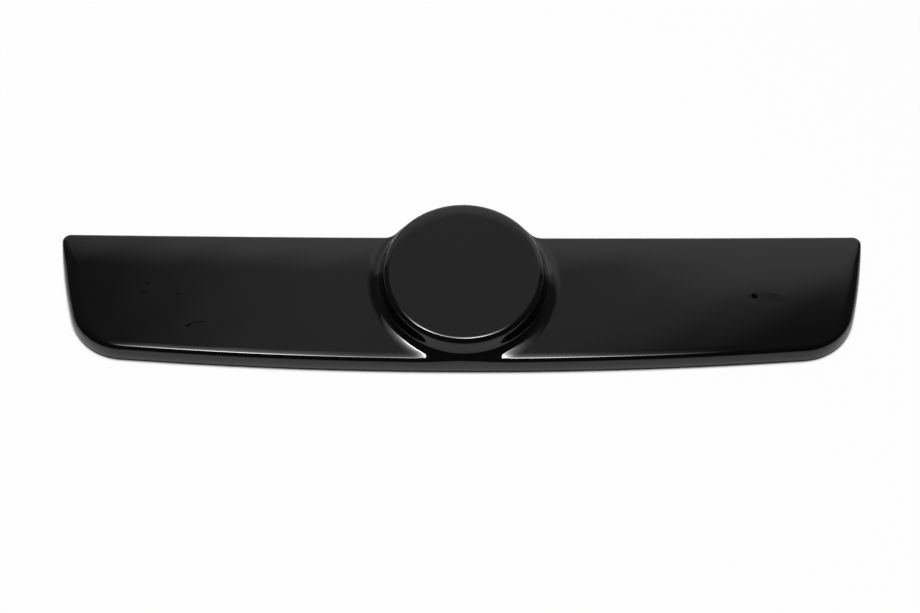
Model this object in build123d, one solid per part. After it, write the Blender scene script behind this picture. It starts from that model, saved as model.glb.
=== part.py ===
from build123d import *
from math import cos, radians, sin, tan
import os

# Winter grille cover: one moulded shell of even wall, open at the back. A long low strip closes the
# grille, and the round dome in its middle makes room for the badge and stands above the top edge.
# Millimetres. The cover lies on its rim, front up: X along the strip, Y towards its top edge,
# Z out of the front, with the dome's axis on the Z axis.

# Rim outline, at Z = 0
top_half_width = 411.1         # middle to the end, at the top edge before its corner is rounded
bottom_half_width = 375.6      # middle to the end, at the bottom edge before its corner is rounded
end_bulge = 4.2                # how far each end bows out from a straight line
top_reach = 54.8               # dome axis to the middle of the top edge
top_dip = 2.5                  # middle of the top edge below its ends
bottom_margin = 16.2           # flat top of the dome to the middle of the bottom edge
bottom_rise = 16.2             # ends of the bottom edge above its middle
top_corner_radius = 8.0
bottom_corner_radius = 60.0
dome_rim_radius = 91.5         # rim of the dome where it stands above the top edge
neck_radius = 14.0             # hollow corner between the top edge and the dome's rim

# Slope of the side walls, in degrees from upright
top_draft = 8.0
bottom_draft = 14.0
end_draft = 12.0
end_slope = 50.0               # ends above their shoulder, where they turn over to the front
dome_rim_draft = 9.0

# Front of the strip
flange_height = 20.0           # side wall, rim to the edge of the front
face_crown = 2.0               # middle of the front above its edges
end_shoulder = 12.0            # rim to the shoulder of the ends
edge_bevel = 3.2               # taken off the edge between the front and the side walls
inner_bevel = 2.1              # the same edge on the inside

# Badge dome
dome_height = 41.5             # rim to the flat top
disc_radius = 75.3             # flat top
inner_disc_radius = 2.0        # inside of the edge around the flat top
dome_draft = 16.0              # slope of the dome's wall, in degrees from upright
dome_foot_radius = 8.0         # hollow between the dome's wall and the front

wall = 2.5                     # thickness of the shell

clear = 10.0                   # by how much a cutting solid passes the part
bottom_reach = disc_radius + bottom_margin    # dome axis to the middle of the bottom edge


def drawn_in(draft, inset, z):
    """Way inwards of a side wall at height z, with the wall moved in by inset across its slope."""
    return z * tan(radians(draft)) + inset / cos(radians(draft))


def end_drawn_in(inset, z):
    """The same for an end, which is steep up to its shoulder and sloped above it."""
    step = end_shoulder * (tan(radians(end_slope)) - tan(radians(end_draft)))
    return max(drawn_in(end_draft, inset, z), drawn_in(end_slope, inset, z) - step)


def shoulder_height(inset):
    """Height at which an end turns from steep to sloped."""
    steep, sloped = radians(end_draft), radians(end_slope)
    return end_shoulder - inset * (1 / cos(sloped) - 1 / cos(steep)) / (tan(sloped) - tan(steep))


def outline(inset, z):
    """Plan outline of the side walls at height z."""
    top = top_reach - drawn_in(top_draft, inset, z)
    bottom = drawn_in(bottom_draft, inset, z) - bottom_reach
    ends = end_drawn_in(inset, z)
    top_right = (top_half_width - ends, top + top_dip)
    bottom_right = (bottom_half_width - ends, bottom + bottom_rise)
    top_left = (-top_right[0], top_right[1])
    bottom_left = (-bottom_right[0], bottom_right[1])
    strip = make_face([
        ThreePointArc(top_left, (0, top), top_right),
        SagittaArc(top_right, bottom_right, end_bulge),
        ThreePointArc(bottom_right, (0, bottom), bottom_left),
        SagittaArc(bottom_left, top_left, end_bulge),
    ])
    strip = fillet(strip.vertices().sort_by(Axis.Y)[:2], bottom_corner_radius - inset)
    strip = fillet(strip.vertices().sort_by(Axis.Y)[-2:], top_corner_radius - inset)

    radius = dome_rim_radius - drawn_in(dome_rim_draft, inset, z)
    upper_half = Pos(0, dome_rim_radius) * Rectangle(2 * dome_rim_radius, 2 * dome_rim_radius)
    plan = strip + (Circle(radius) & upper_half)
    necks = plan.vertices().filter_by(lambda v: v.Y > 0 and abs(v.X) < radius)
    return Pos(0, 0, z) * fillet(necks, neck_radius + inset)


def front(inset):
    """Slab with the crowned front on it, wider than the part all round."""
    middle = (top_reach - bottom_reach) / 2
    half = (top_reach + bottom_reach) / 2
    crown_radius = (half**2 + face_crown**2) / (2 * face_crown)
    top = flange_height + face_crown
    width = 2 * (top_half_width + clear)
    depth = 4 * dome_rim_radius
    slab = Pos(0, 0, top / 2) * Box(width, depth, top)
    crown = Pos(0, middle, top - crown_radius) * Rot(0, 90, 0) * Cylinder(crown_radius - inset, width)
    return slab & crown


def dome(inset):
    """Solid of the dome, turned about the Z axis."""
    slope = radians(dome_draft)
    top = dome_height - inset
    radius = inner_disc_radius + wall - inset
    edge = (disc_radius, top)
    shoulder = (disc_radius + radius * cos(slope), top - radius * (1 - sin(slope)))
    foot = (shoulder[0] + shoulder[1] * tan(slope), 0)
    profile = make_face([
        Line((0, 0), (0, top)),
        Line((0, top), edge),
        RadiusArc(edge, shoulder, radius),
        Line(shoulder, foot),
        Line(foot, (0, 0)),
    ])
    return revolve(Plane.XZ * profile, Axis.Z)


def form(inset):
    """Closed form of the cover, with every surface moved in by inset."""
    body = front(inset) + dome(inset)
    rings = body.edges().filter_by(lambda e: e.is_closed)
    foot = rings.sort_by(lambda e: abs(e.center().Z - flange_height))[0]
    body = fillet(foot, dome_foot_radius + inset)
    levels = (0, shoulder_height(inset), dome_height + clear)
    walls = loft([outline(inset, z) for z in levels], ruled=True)
    return (body & walls).solid()


def eased(body, inset, bevel):
    """The body with the sharp edge between its front and its side walls taken off."""
    shoulder = shoulder_height(inset)
    sides = body.faces().filter_by(lambda f: abs(f.bounding_box().min.Z - shoulder) < wall / 10)
    upper = [edge for side in sides for edge in side.edges() if edge.bounding_box().min.Z > shoulder + wall]
    return chamfer(ShapeList(upper), bevel)


grille_cover = eased(form(0), 0, edge_bevel) - eased(form(wall), wall, inner_bevel)

os.makedirs("parts", exist_ok=True)
export_step(grille_cover, "parts/grille_cover.step")
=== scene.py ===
import math
import bpy
import numpy as np
from mathutils import Matrix, Vector


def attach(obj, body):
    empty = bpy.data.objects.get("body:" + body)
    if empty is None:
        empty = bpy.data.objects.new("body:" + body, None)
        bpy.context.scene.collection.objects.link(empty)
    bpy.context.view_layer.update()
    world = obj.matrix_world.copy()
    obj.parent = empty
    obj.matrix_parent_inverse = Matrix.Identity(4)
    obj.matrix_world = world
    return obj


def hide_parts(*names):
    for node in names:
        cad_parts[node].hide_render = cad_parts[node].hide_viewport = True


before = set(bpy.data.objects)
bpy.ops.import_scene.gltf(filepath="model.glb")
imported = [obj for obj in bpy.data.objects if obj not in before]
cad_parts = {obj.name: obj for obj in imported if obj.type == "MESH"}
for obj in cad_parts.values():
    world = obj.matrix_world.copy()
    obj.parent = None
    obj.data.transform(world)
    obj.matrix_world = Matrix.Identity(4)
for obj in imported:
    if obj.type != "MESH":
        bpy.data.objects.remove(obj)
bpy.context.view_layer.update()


# Wires: a socket that can be used in sums, and the one way to add any other node

class Wire:
    def __init__(self, tree, socket):
        self.tree = tree
        self.socket = socket

    def other(self, name):  # another output of the same node
        return Wire(self.tree, self.socket.node.outputs[name])

    def maths(self, operation, *values):
        return addNode(self.tree, "Math", {"operation": operation}, dict(enumerate(values)))

    def exp(self):
        return self.maths("EXPONENT", self)

    def __add__(self, value):
        return self.maths("ADD", self, value)

    def __radd__(self, value):
        return self.maths("ADD", value, self)

    def __sub__(self, value):
        return self.maths("SUBTRACT", self, value)

    def __rsub__(self, value):
        return self.maths("SUBTRACT", value, self)

    def __mul__(self, value):
        return self.maths("MULTIPLY", self, value)

    def __rmul__(self, value):
        return self.maths("MULTIPLY", value, self)

    def __truediv__(self, value):
        return self.maths("DIVIDE", self, value)

    def __rtruediv__(self, value):
        return self.maths("DIVIDE", value, self)


def addNode(tree, kind, settings=None, sockets=None, out=0):
    node = tree.nodes.new("ShaderNode" + kind)
    for name, value in (settings or {}).items():
        if name == "stops":  # a ramp's stops: place and grey level
            ramp = node.color_ramp
            while len(ramp.elements) < len(value):
                ramp.elements.new(1)
            for element, (place, level) in zip(ramp.elements, value):
                element.position = place
                element.color = (level, level, level, 1)
        else:
            setattr(node, name, value)
    for name, value in (sockets or {}).items():
        if isinstance(value, Wire):
            tree.links.new(value.socket, node.inputs[name])
        else:
            node.inputs[name].default_value = value
    return Wire(tree, node.outputs[out]) if node.outputs else None


def between(value, start, end):
    return addNode(value.tree, "MapRange", {"interpolation_type": "SMOOTHSTEP"}, {
        "Value": value, "From Min": start, "From Max": end})


def split(vector):
    x = addNode(vector.tree, "SeparateXYZ", {}, {0: vector})
    return x, x.other("Y"), x.other("Z")


def newMaterial(name):
    material = bpy.data.materials.new(name)
    material.use_nodes = True
    material.node_tree.nodes.clear()
    return material, material.node_tree


def finishWith(tree, shader):
    addNode(tree, "OutputMaterial", {}, {"Surface": shader})


# Plan of the cover: arcs from the middle of the bottom edge round the right end to the top of the dome

cover = {
    "topHalfWidth": .4111, "bottomHalfWidth": .3756, "endBulge": .0042,
    "topReach": .0548, "topDip": .0025, "bottomReach": .0915, "bottomRise": .0162,
    "topCorner": .008, "bottomCorner": .060, "rimRadius": .0915, "neckRadius": .014,
    "topDraft": 8, "bottomDraft": 6, "endDraft": 12, "rimDraft": 9,  # degrees from upright
    "flangeHeight": .020, "faceCrown": .002,
    "domeHeight": .0415, "discRadius": .0734, "innerDiscEdge": .0045, "domeDraft": 16,
    "footRadius": .010, "footReach": .008, "footSpread": .040,  # tight hollow, then a soft spread
    "wall": .0025,
    "lowerRound": .0055, "upperRound": .004, "leftRound": .012, "rightRound": .009,  # the front's edges
    "endRoundFade": (.046, .012),  # the ends' rounds grow between these heights up the strip
    "innerRound": .0015, "wallBow": .0004, "rimRound": .0030,
    "rollWidth": .009, "rollRadius": .050,  # the front eases down before its lower edge
}
arcPoints = {"bottom": 112, "bottomCorner": 40, "end": 28, "topCorner": 12, "top": 100,
             "neck": 12, "rim": 44}
outerRows = {"rim": 4, "wall": 8, "edge": 10, "face": 24, "spread": 8, "foot": 12, "dome": 4,
             "shoulder": 9, "disc": 7}
innerRows = {"wall": 2, "edge": 3, "face": 8, "spread": 2, "foot": 5, "dome": 2, "shoulder": 3, "disc": 3}
meshing = {
    "discHub": .008,  # the disc's innermost row, around its middle point
    "meetSteps": 8, "probe": .0015,  # how the edge of the front, and its slope there, are found
    "footGap": .0012, "footShare": .6, "spreadShare": .5,  # room for the foot where the strip is narrow
    "faceCrowding": 1.3,  # rows lie closer near the edge
    "sharpAngle": 50,
}


def slopeOf(name):
    return math.tan(math.radians(cover[name]))


def drawnIn(name, inset, z):
    return z * slopeOf(name) + inset / math.cos(math.radians(cover[name]))


def crossing(centreA, radiusA, centreB, radiusB, near):
    # where two circles cross, on the side of a given point
    across = centreB - centreA
    gap = np.hypot(*across)
    along = (radiusA**2 - radiusB**2 + gap**2) / (2 * gap)
    half = math.sqrt(radiusA**2 - along**2)
    side = np.array([-across[1], across[0]]) / gap
    points = [centreA + across / gap * along + sign * half * side for sign in (1, -1)]
    return min(points, key=lambda p: np.hypot(*(p - near)))


def bowedEdge(halfWidth, middle, rise):
    # circle of an edge whose ends stand above its middle
    radius = (halfWidth**2 + rise**2) / (2 * rise)
    return np.array([0, middle + radius]), radius


def touch(centre, radius, other):
    return centre + (other - centre) / np.hypot(*(other - centre)) * radius


def halfPlan(inset, z):
    top = cover["topReach"] - drawnIn("topDraft", inset, z)
    bottom = drawnIn("bottomDraft", inset, z) - cover["bottomReach"]
    ends = drawnIn("endDraft", inset, z)
    topRight = np.array([cover["topHalfWidth"] - ends, top + cover["topDip"]])
    bottomRight = np.array([cover["bottomHalfWidth"] - ends, bottom + cover["bottomRise"]])
    topCentre, topRadius = bowedEdge(topRight[0], top, cover["topDip"])
    bottomCentre, bottomRadius = bowedEdge(bottomRight[0], bottom, cover["bottomRise"])
    chord = topRight - bottomRight
    length = np.hypot(*chord)
    endRadius = (length**2 / 4 + cover["endBulge"]**2) / (2 * cover["endBulge"])
    outward = np.array([chord[1], -chord[0]]) / length
    endCentre = (topRight + bottomRight) / 2 - outward * (endRadius - cover["endBulge"])

    low, high, neck = cover["bottomCorner"] - inset, cover["topCorner"] - inset, cover["neckRadius"] + inset
    rim = cover["rimRadius"] - drawnIn("rimDraft", inset, z)
    middle = np.zeros(2)
    lowCentre = crossing(bottomCentre, bottomRadius - low, endCentre, endRadius - low, bottomRight)
    highCentre = crossing(topCentre, topRadius + high, endCentre, endRadius - high, topRight)
    neckCentre = crossing(topCentre, topRadius - neck, middle, rim + neck, np.array([rim, top]))
    joints = [
        np.array([0, bottom]), touch(bottomCentre, bottomRadius, lowCentre),
        touch(endCentre, endRadius, lowCentre),
        touch(endCentre, endRadius, highCentre), touch(topCentre, topRadius, highCentre),
        touch(topCentre, topRadius, neckCentre), touch(middle, rim, neckCentre), np.array([0, rim]),
    ]
    circles = [  # centre, and whether the plan lies inside the circle
        (bottomCentre, 1), (lowCentre, 1), (endCentre, 1), (highCentre, 1),
        (topCentre, -1), (neckCentre, -1), (middle, 1),
    ]
    points, inwards = [], []
    for (centre, inside), start, end, count in zip(circles, joints, joints[1:], arcPoints.values()):
        first = math.atan2(*(start - centre)[::-1])
        turn = (math.atan2(*(end - centre)[::-1]) - first + math.pi) % (2 * math.pi) - math.pi
        radius = np.hypot(*(start - centre))
        for step in range(count):
            angle = first + turn * step / count
            spoke = np.array([math.cos(angle), math.sin(angle)])
            points.append(centre + radius * spoke)
            inwards.append(-inside * spoke)
    points.append(joints[-1])
    inwards.append(np.array([0, -1]))
    return np.array(points), np.array(inwards)


def wholePlan(inset, z):
    # the right half, then its mirror image back to the start
    flip = np.array([-1, 1])
    return [np.concatenate([half, half[-2:0:-1] * flip]) for half in halfPlan(inset, z)]


# Height of the front over the plan

waviness = {  # a moulded front, not quite true: broad crossed swells and finer ones at a slant
    "height": .00006, "length": .16, "lean": (.31, .22), "phase": (.7, .4), "squeeze": .8,
    "fine": (1.9, 2.3), "fineShare": .5, "discShare": .5, "discEase": .02,
}


def ease(value, start, end):
    t = np.clip((value - start) / (end - start), 0, 1)
    return t * t * (3 - 2 * t)


def wave(x, y):
    k = 2 * math.pi / waviness["length"]
    leanX, leanY = waviness["lean"]
    phaseX, phaseY = waviness["phase"]
    fineX, fineY = waviness["fine"]
    swell = np.sin(k * (x + leanX * y) + phaseX) * np.cos(k * waviness["squeeze"] * (y - leanY * x) + phaseY)
    fine = np.sin(k * fineX * x - k * fineY * y)
    return waviness["height"] * (swell + waviness["fineShare"] * fine)


def stripHeight(x, y, inset):
    middle = (cover["topReach"] - cover["bottomReach"]) / 2
    half = (cover["topReach"] + cover["bottomReach"]) / 2
    crownRadius = (half**2 + cover["faceCrown"]**2) / (2 * cover["faceCrown"])
    drop = crownRadius - np.sqrt(crownRadius**2 - (y - middle)**2)
    lowEdge = drawnIn("bottomDraft", 0, cover["flangeHeight"]) - cover["bottomReach"]
    lowCentre, lowRadius = bowedEdge(cover["bottomHalfWidth"], lowEdge, cover["bottomRise"])
    gap = y - lowCentre[1] + np.sqrt(lowRadius**2 - x**2)
    roll = np.clip(cover["rollWidth"] - gap, 0, None)**2 / (2 * cover["rollRadius"])
    return cover["flangeHeight"] + cover["faceCrown"] - drop - roll + wave(x, y) - inset


def domeRadii(strip, inset):
    # radii and heights of the dome's outline over a front of a given height
    slope = math.radians(cover["domeDraft"])
    edge = cover["innerDiscEdge"] + cover["wall"] - inset
    foot = cover["footRadius"] + inset
    shoulder = cover["discRadius"] + edge * math.cos(slope)
    shoulderHeight = cover["domeHeight"] - inset - edge * (1 - math.sin(slope))
    spread = math.atan(cover["footReach"] / cover["footSpread"])  # slope where spread and hollow meet
    lift = cover["footReach"]**2 / (2 * cover["footSpread"])
    meets = strip + lift + foot * (math.cos(spread) - math.sin(slope))
    high = shoulder + (shoulderHeight - meets) * math.tan(slope)
    low = high + foot * (math.cos(slope) - math.sin(spread))
    return {"edge": edge, "foot": foot, "shoulder": shoulder, "shoulderHeight": shoulderHeight,
            "spread": spread, "lift": lift, "high": high, "low": low}


def frontHeight(x, y, inset):
    r = np.hypot(x, y)
    strip = stripHeight(x, y, inset)
    dome = domeRadii(strip, inset)
    disc, edge, foot = cover["discRadius"], dome["edge"], dome["foot"]
    top = cover["domeHeight"] - inset
    soft = np.clip(dome["low"] + cover["footReach"] - r, 0, cover["footReach"])
    height = strip + soft**2 / (2 * cover["footSpread"])
    lean = np.clip(math.sin(dome["spread"]) + (dome["low"] - r) / foot, 0, 1)
    hollow = strip + dome["lift"] + foot * (math.cos(dome["spread"]) - np.sqrt(1 - lean**2))
    height = np.where(r < dome["low"], hollow, height)
    wallLine = dome["shoulderHeight"] + (dome["shoulder"] - r) / slopeOf("domeDraft")
    height = np.where(r < dome["high"], wallLine, height)
    roundTop = top - edge + np.sqrt(np.clip(edge**2 - (r - disc)**2, 0, None))
    height = np.where(r < dome["shoulder"], roundTop, height)
    discWave = wave(x, y) * waviness["discShare"] * ease(disc - r, 0, waviness["discEase"])
    return np.where(r < disc, top + discWave, height)


def edgeRadius(corner, inwards):
    # the ends of the strip are rounder than its long edges, less so towards their top corners
    atEnd = inwards[:, 0]**2 * (np.abs(corner[:, 0]) > cover["rimRadius"] * 2)
    ends = np.where(corner[:, 0] < 0, cover["leftRound"], cover["rightRound"])
    ends = cover["upperRound"] + (ends - cover["upperRound"]) * ease(corner[:, 1], *cover["endRoundFade"])
    edges = np.where(inwards[:, 1] > 0, cover["lowerRound"], cover["upperRound"])
    return edges + (ends - edges) * atEnd


def skin(inset, rows):
    # rows of points from the rim up the side wall, over the rounded edge and in to the middle
    height = cover["flangeHeight"]
    rim, _ = wholePlan(inset, 0)
    upper, inwards = wholePlan(inset, height)
    z = np.full(len(rim), height)
    for _ in range(meshing["meetSteps"]):  # where the side wall meets the front
        corner = rim + (upper - rim) * (z / height)[:, None]
        z = frontHeight(corner[:, 0], corner[:, 1], inset)
    corner = rim + (upper - rim) * (z / height)[:, None]

    wallWay = np.column_stack([upper - rim, np.full(len(rim), height)])
    wallWay /= np.linalg.norm(wallWay, axis=1)[:, None]
    reach = meshing["probe"]
    inside = corner + inwards * reach
    rise = (frontHeight(inside[:, 0], inside[:, 1], inset) - z) / reach
    frontWay = np.column_stack([inwards, rise])
    frontWay /= np.linalg.norm(frontWay, axis=1)[:, None]
    turn = np.arccos(np.clip((wallWay * frontWay).sum(axis=1), -1, 1))

    radius = edgeRadius(corner, inwards) if inset == 0 else np.full(len(rim), cover["innerRound"])
    tangent = radius * np.tan(turn / 2)
    corner3 = np.column_stack([corner, z])
    wallEnd = corner3 - wallWay * tangent[:, None]
    faceStart = corner3 + frontWay * tangent[:, None]
    faceStart[:, 2] = frontHeight(faceStart[:, 0], faceStart[:, 1], inset)
    rim3 = np.column_stack([rim, np.zeros(len(rim))])

    made = []
    outside = inset == 0
    bow = np.column_stack([-inwards, np.zeros(len(rim))]) * cover["wallBow"] * outside
    if outside:  # the trimmed rim is sanded round under its outer edge
        under = np.column_stack([inwards, np.zeros(len(rim))]) * cover["rimRound"]
        lift = rim3 + wallWay * cover["rimRound"]
        for step in range(rows["rim"]):
            angle = math.pi / 2 * step / rows["rim"]
            made.append(rim3 + under * (1 - math.sin(angle)) + (lift - rim3) * (1 - math.cos(angle)))
        rim3 = lift
    for step in range(rows["wall"] + 1):
        t = step / rows["wall"]
        made.append(rim3 + (wallEnd - rim3) * t + bow * 4 * t * (1 - t))
    weight = np.cos(turn / 2)[:, None]
    for step in range(1, rows["edge"] + 1):  # a round edge as a weighted curve
        t = step / rows["edge"]
        a, b, c = (1 - t)**2, 2 * t * (1 - t) * weight, t**2
        made.append((wallEnd * a + corner3 * b + faceStart * c) / (a + b + c))

    start = np.hypot(faceStart[:, 0], faceStart[:, 1])
    spoke = faceStart[:, :2] / start[:, None]
    dome = domeRadii(stripHeight(*(spoke * cover["rimRadius"]).T, inset), inset)
    disc, edge, shoulder = cover["discRadius"], dome["edge"], dome["shoulder"]
    high = np.minimum(dome["high"], start - meshing["footGap"])
    low = high + np.minimum(dome["low"] - high, meshing["footShare"] * (start - high))
    soft = low + np.minimum(cover["footReach"], meshing["spreadShare"] * (start - low))
    places = []
    for step in range(1, rows["face"] + 1):
        places.append(start + (soft - start) * (step / rows["face"])**meshing["faceCrowding"])
    for step in range(1, rows["spread"] + 1):
        places.append(soft + (low - soft) * step / rows["spread"])
    for step in range(1, rows["foot"] + 1):
        places.append(low + (high - low) * step / rows["foot"])
    for step in range(1, rows["dome"] + 1):
        places.append(high + (shoulder - high) * step / rows["dome"])
    widest = math.radians(90 - cover["domeDraft"])
    for step in range(1, rows["shoulder"] + 1):
        places.append(np.full(len(rim), disc + edge * math.sin(widest * (1 - step / rows["shoulder"]))))
    for step in range(1, rows["disc"] + 1):
        places.append(np.full(len(rim), disc + (meshing["discHub"] - disc) * step / rows["disc"]))
    for place in places:
        x, y = (spoke * place[:, None]).T
        made.append(np.column_stack([x, y, frontHeight(x, y, inset)]))
    return made


def coverMesh():
    outer, inner = skin(0, outerRows), skin(cover["wall"], innerRows)
    around = len(outer[0])
    rows = outer[::-1] + inner  # from the outer disc down to the rim, then inside up to the disc
    nought = np.zeros(1)
    middles = [[0, 0, float(frontHeight(nought, nought, inset)[0])] for inset in (0, cover["wall"])]
    points = np.concatenate(rows + [np.array(middles)])
    outerMiddle = len(points) - 2
    faces, finishes = [], []
    for row in range(len(rows) - 1):
        for i in range(around):
            j = (i + 1) % around
            here, below = row * around, (row + 1) * around
            faces.append((here + i, below + i, below + j, here + j))
        glossy, trimmed = row < len(outer) - 1 - outerRows["rim"], row < len(outer)
        kind = 0 if glossy else 1 if trimmed else 2  # gelcoat, cut edge with painted shade, laminate
        finishes += [kind] * around
    last = (len(rows) - 1) * around
    for i in range(around):
        j = (i + 1) % around
        faces += [(outerMiddle, i, j), (outerMiddle + 1, last + j, last + i)]
        finishes += [0, 2]
    mesh = bpy.data.meshes.new("grilleCover")
    mesh.from_pydata(points.tolist(), [], faces)
    mesh.polygons.foreach_set("material_index", finishes)
    mesh.polygons.foreach_set("use_smooth", [True] * len(faces))
    mesh.update()
    mesh.set_sharp_from_angle(angle=math.radians(meshing["sharpAngle"]))
    return mesh


# Finishes

gelcoat = {
    "colour": (.0026, .0026, .0028, 1), "roughness": .03, "ior": 1.5,
    "haze": .04, "hazeFrom": (.45, .8), "hazeScale": 9, "hazeDetail": 6,
    "peelScale": 60, "peelDetail": 2, "peelDepth": .12,
    "scratchWidth": .0006, "scratchDepth": .10, "scratchTaper": .3,
    "waverScale": 45, "waverDetail": 1, "waverWidth": .004,  # how the scratches wander
    "pitShadeFrom": .5, "depthUnit": .0001,  # depths are in tenths of a millimetre
}
laminate = {
    "colour": (.020, .019, .018, 1), "strand": (.060, .058, .052, 1), "roughness": .55,
    "strandScale": 160, "strandWidth": .08, "strandShare": .6, "strandHeight": .0006, "strandStrength": .5,
}
# the sanded cut edge, made near black and barely reflecting as painted shade for the dark line at the rim's
# foot
cutEdgeAndShade = {"colour": (.003, .003, .003, 1), "roughness": .6, "shine": .08}
scratches = [  # place, half length, turn in degrees
    ((-.250, -.0490), .075, 9.5), ((-.215, -.0405), .045, 8), ((-.205, -.0450), .040, 11),
    ((-.300, -.0570), .030, 6), ((.000, -.0018), .030, 12), ((.050, -.0200), .016, 20),
    ((-.018, -.0189), .010, -6),
]
marks = [  # place, half length and half width, turn in degrees, depth, share of painted shade (black, mirroring nothing)
    ((.2889, -.0175), (.0036, .0034), 0, 3, 1), ((.3010, -.0187), (.024, .007), -4, .10, .22),
    ((-.2689, -.0509), (.0044, .0017), 28, .6, .8), ((-.2590, -.0480), (.0090, .0014), 8, .2, .4),
    ((-.3140, -.0041), (.0018, .0018), 0, .4, .6), ((-.2820, -.0165), (.0017, .0015), 0, .4, .6),
    ((-.3177, -.0144), (.0040, .0012), 8, .3, .5),
]


def turned(x, y, at, turn):
    # distances along and across a mark that lies at an angle
    c, s = math.cos(math.radians(turn)), math.sin(math.radians(turn))
    return (x - at[0]) * c + (y - at[1]) * s, (y - at[1]) * c - (x - at[0]) * s


def blackGelcoat():
    material, tree = newMaterial("blackGelcoat")
    place = addNode(tree, "TexCoord", {}, {}, "Object")
    x, y = split(place)[:2]
    peel = addNode(tree, "TexNoise", {}, {
        "Vector": place, "Scale": gelcoat["peelScale"], "Detail": gelcoat["peelDetail"]})
    wander = addNode(tree, "TexNoise", {}, {
        "Vector": place, "Scale": gelcoat["waverScale"], "Detail": gelcoat["waverDetail"]})
    waver = (wander - .5) * gelcoat["waverWidth"]
    scored = 0
    for at, half, turn in scratches:
        along, across = turned(x, y, at, turn)
        along, across = along / half, (across + waver) / gelcoat["scratchWidth"]
        length = 1 - between(along * along, gelcoat["scratchTaper"], 1)
        scored = length * (1 - between(across * across, 0, 1)) + scored
    scored = scored * gelcoat["scratchDepth"]
    # painted shade: where the pits and dents lie, the gelcoat is made black and mirrors nothing
    pitShade = 0
    for at, (half, wide), turn, depth, pitShadeShare in marks:
        along, across = turned(x, y, at, turn)
        along, across = along / half, across / wide
        hollow = 1 - between(along * along + across * across, 0, 1)
        scored = hollow * depth + scored
        pitShade = between(hollow, 0, gelcoat["pitShadeFrom"]) * pitShadeShare + pitShade
    dust = addNode(tree, "TexNoise", {}, {
        "Vector": place, "Scale": gelcoat["hazeScale"], "Detail": gelcoat["hazeDetail"]})
    bump = addNode(tree, "Bump", {}, {
        "Strength": 1, "Distance": gelcoat["depthUnit"], "Height": peel * gelcoat["peelDepth"] - scored})
    shader = addNode(tree, "BsdfPrincipled", {}, {
        "Base Color": gelcoat["colour"], "IOR": gelcoat["ior"], "Normal": bump,
        "Roughness": gelcoat["roughness"] + between(dust, *gelcoat["hazeFrom"]) * gelcoat["haze"],
        "Metallic": pitShade})  # painted shade: black and metallic mirrors nothing, so each pit and dent shows as dark as the inside of a pit
    finishWith(tree, shader)
    return material


def bareLaminate():
    material, tree = newMaterial("bareLaminate")
    place = addNode(tree, "TexCoord", {}, {}, "Object")
    strands = addNode(tree, "TexVoronoi", {"feature": "DISTANCE_TO_EDGE"}, {
        "Vector": place, "Scale": laminate["strandScale"]})
    mask = addNode(tree, "ValToRGB", {"stops": [(0, 1), (laminate["strandWidth"], 0)]}, {"Fac": strands})
    tone = addNode(tree, "Mix", {"data_type": "RGBA"}, {
        0: mask * laminate["strandShare"], 6: laminate["colour"], 7: laminate["strand"]}, 2)
    bump = addNode(tree, "Bump", {}, {
        "Strength": laminate["strandStrength"], "Distance": laminate["strandHeight"], "Height": mask})
    shader = addNode(tree, "BsdfPrincipled", {}, {
        "Base Color": tone, "Roughness": laminate["roughness"], "Normal": bump})
    finishWith(tree, shader)
    return material


def trimmedEdgeAndShade():
    # painted shade: the cut edge is made near black and barely reflecting
    material, tree = newMaterial("trimmedEdgeAndShade")
    finishWith(tree, addNode(tree, "BsdfPrincipled", {}, {
        "Base Color": cutEdgeAndShade["colour"], "Roughness": cutEdgeAndShade["roughness"],
        "Specular IOR Level": cutEdgeAndShade["shine"]}))
    return material


grilleCover = bpy.data.objects.new("grilleCover", coverMesh())
bpy.context.collection.objects.link(grilleCover)
for finish in (blackGelcoat(), trimmedEdgeAndShade(), bareLaminate()):
    grilleCover.data.materials.append(finish)
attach(grilleCover, "root")
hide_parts("grille_cover")
print("cover made,", len(grilleCover.data.polygons), "faces")


# Floor, light and camera

studio = {
    "floorSize": 14, "floorColour": (.62, .62, .62, 1),
    "floorWhite": .97, "floorMirrored": .1,  # shares of plain white, as seen and as mirrored
    # a painted contact shadow on the floor, darkest where the cover stands close
    "contactShadowReach": .006, "contactShadowFade": (.46, .70), "contactShadowRays": 8,
    "contactShadowColour": (.004, .004, .004, 1),
    "boxAt": (-.12, .15, 1.5), "boxSize": (1.5, .62), "boxLevel": 62,
    "boxFade": .2,  # how fast the box dims away from its near edge, as a share of its depth
    "boxSpots": [(.25, .16), (.67, .15)],  # its two brightest places across: middle and spread, as shares
    "boxBetween": .1, "boxEdge": .12,  # how bright it is between them, and the fade at its ends
    "fillAt": (0, -.3, 2.4), "fillSize": (2.4, 2.4), "fillLevel": .2,  # lifts the floor and shadows only
}
room = {  # levels, and where they set in: from and to, by direction
    "dim": .02, "glow": .06, "glowFar": (-.2, .3),
    "ceiling": .42, "ceilingLeft": (-.30, -.10), "ceilingRight": (-.34, -.16), "ceilingSlant": 1.1,
    "ceilingFar": (-.05, .25),
    "side": .40, "sideRight": (.10, .24), "sideFar": (.45, .54),
    "wall": .55, "wallMore": .45, "wallLeft": (-.34, -.16), "wallFar": (.535, .605),
}
view = {
    "target": (-.00325, -.0176, 0), "elevation": 61, "turn": 1.39, "roll": 1.38,  # degrees
    "distance": 1.2839, "lens": 50,
}


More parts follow.
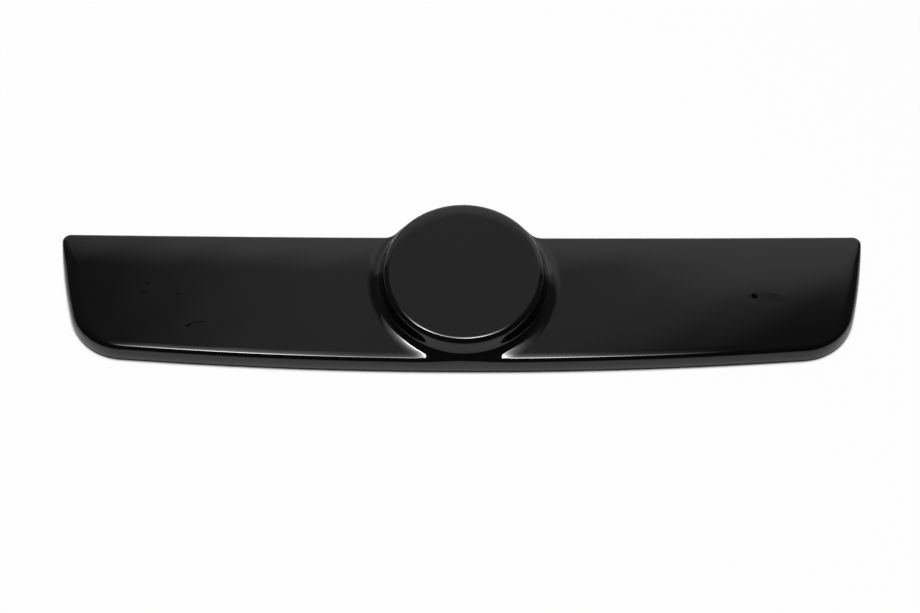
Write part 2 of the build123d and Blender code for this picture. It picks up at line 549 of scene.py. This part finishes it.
def paleFloor():
    material, tree = newMaterial("paleFloor")
    path = addNode(tree, "LightPath", {}, {}, "Is Camera Ray")
    mirrored = path.other("Is Glossy Ray") + path.other("Is Transmission Ray")
    seen = path * studio["floorWhite"] + mirrored * studio["floorMirrored"]
    lit = addNode(tree, "BsdfDiffuse", {}, {"Color": studio["floorColour"]})
    white = addNode(tree, "Emission", {}, {"Color": (1, 1, 1, 1), "Strength": 1})
    bright = addNode(tree, "MixShader", {}, {0: seen, 1: lit, 2: white})
    gap = addNode(tree, "AmbientOcclusion", {"samples": studio["contactShadowRays"]}, {
        "Distance": studio["contactShadowReach"]}, "AO")
    shade = addNode(tree, "BsdfDiffuse", {}, {"Color": studio["contactShadowColour"]})
    away = between(gap, *studio["contactShadowFade"])  # painted contact shadow: the dark line where the rim meets the floor
    finishWith(tree, addNode(tree, "MixShader", {}, {0: away, 1: shade, 2: bright}))
    return material


bpy.ops.mesh.primitive_plane_add(size=studio["floorSize"])
floor = bpy.context.object
floor.name = "floor"
floor.data.materials.append(paleFloor())


def areaLamp(name, at, size, level):
    lamp = bpy.data.lights.new(name, "AREA")
    lamp.shape = "RECTANGLE"
    lamp.size, lamp.size_y = size
    lamp.energy = math.pi * size[0] * size[1] * level  # level is the brightness of its face
    box = bpy.data.objects.new(name, lamp)
    box.location = at
    bpy.context.collection.objects.link(box)
    return box


def softBox():
    # brightest along its near edge and at its two lamps
    box = areaLamp("overheadBox", studio["boxAt"], studio["boxSize"], studio["boxLevel"])
    box.data.use_nodes = True
    tree = box.data.node_tree
    tree.nodes.clear()
    place = addNode(tree, "NewGeometry", {}, {}, "Parametric")
    across, deep = split(place)[:2]
    lamps = studio["boxBetween"]
    for middle, spread in studio["boxSpots"]:
        off = (across - middle) / spread
        lamps = lamps + (off * off * -1).exp()
    near = (deep * (-1 / studio["boxFade"])).exp()
    edges = between(across, 0, studio["boxEdge"]) * between(across, 1, 1 - studio["boxEdge"])
    glow = addNode(tree, "Emission", {}, {"Strength": lamps * near * edges})
    addNode(tree, "OutputLight", {}, {"Surface": glow})


softBox()
fill = areaLamp("roomFill", studio["fillAt"], studio["fillSize"], studio["fillLevel"])
fill.visible_glossy = False


def studioRoom():
    # far wall low and bright, grey ceiling above it, dark behind the camera and to the left
    world = bpy.data.worlds.new("studioRoom")
    bpy.context.scene.world = world
    world.use_nodes = True
    tree = world.node_tree
    tree.nodes.clear()
    x, y = split(addNode(tree, "TexCoord", {}, {}, "Generated"))[:2]
    slant = x - y * room["ceilingSlant"]
    ceiling = between(x, *room["ceilingLeft"]) * (1 - between(slant, *room["ceilingRight"]))
    ceiling = ceiling * between(y, *room["ceilingFar"]) * room["ceiling"]
    side = between(x, *room["sideRight"]) * between(y, *room["sideFar"]) * room["side"]
    wall = between(y, *room["wallFar"])
    level = room["glow"] * between(y, *room["glowFar"]) + room["dim"] + (ceiling + side) * (1 - wall)
    level = level + wall * (room["wall"] + room["wallMore"] * between(x, *room["wallLeft"]))
    path = addNode(tree, "LightPath", {}, {}, "Is Camera Ray")
    around = addNode(tree, "Background", {}, {"Strength": level})
    white = addNode(tree, "Background", {}, {"Color": (1, 1, 1, 1), "Strength": 1})
    shown = addNode(tree, "MixShader", {}, {0: path, 1: around, 2: white})
    addNode(tree, "OutputWorld", {}, {"Surface": shown})


studioRoom()

elevation, turn, roll = (math.radians(view[name]) for name in ("elevation", "turn", "roll"))
level, drop = math.cos(elevation), math.sin(elevation)
ahead = Vector((math.sin(turn) * level, math.cos(turn) * level, -drop))
right = Vector((math.cos(turn), -math.sin(turn), 0))
up = right.cross(ahead)
right, up = right * math.cos(roll) + up * math.sin(roll), up * math.cos(roll) - right * math.sin(roll)
lens = bpy.data.cameras.new("camera")
lens.lens = view["lens"]
camera = bpy.data.objects.new("camera", lens)
facing = Matrix((right, up, -ahead)).transposed().to_4x4()
camera.matrix_world = Matrix.Translation(Vector(view["target"]) - ahead * view["distance"]) @ facing
bpy.context.collection.objects.link(camera)
bpy.context.scene.camera = camera
bpy.context.scene.view_settings.view_transform = "Standard"
print("floor, light and camera set")
